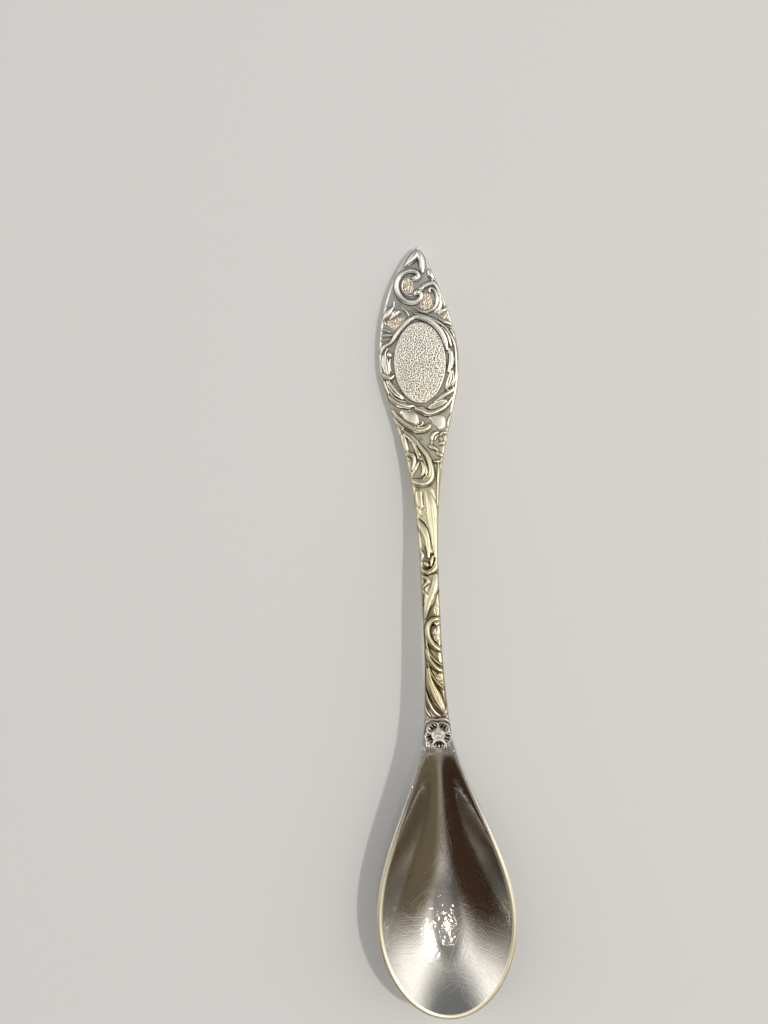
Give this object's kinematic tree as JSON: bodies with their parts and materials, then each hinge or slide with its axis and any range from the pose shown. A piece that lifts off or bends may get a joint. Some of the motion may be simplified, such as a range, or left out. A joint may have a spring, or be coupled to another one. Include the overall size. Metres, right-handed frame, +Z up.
{
  "type": "teaspoon",
  "caption": "Silver-plated teaspoon with an egg-shaped polished bowl and a handle in rococo relief round a bare oval medallion, for stirring and measuring.",
  "frame": {"origin": "on the table plane, under the middle of the spoon's length and width", "axes": "+Y from the bowl along the handle to its tip, +Z up out of the bowl, +X to the right"},
  "size_m": [0.0224, 0.125, 0.0087],
  "materials": {
    "polished_silver": "mirror-polished silver plate with fine scratches from use",
    "worn_silver": "polished silver plate, softly worn, darkened in the hollows of the ornament",
    "oxidised_silver": "silver plate, bright on the high edges and dark brown-grey in the recesses",
    "matted_silver": "silver plate, matted with fine punched dots"
  },
  "bodies": {
    "root": {"bowl": "polished_silver", "handle": "worn_silver", "neck_rosette": "oxidised_silver", "medallion_plate": "matted_silver", "medallion_wreath": "oxidised_silver", "finial_leaf": "oxidised_silver", "crest_scroll_left": "oxidised_silver", "crest_scroll_right": "oxidised_silver", "shoulder_leaves": "oxidised_silver", "apron_scroll": "oxidised_silver", "blossom_spray": "oxidised_silver", "acanthus_hook": "oxidised_silver", "stem_leaf": "oxidised_silver", "stem_scrolls": "oxidised_silver", "neck_leaf": "oxidised_silver"}
  },
  "joints": []
}
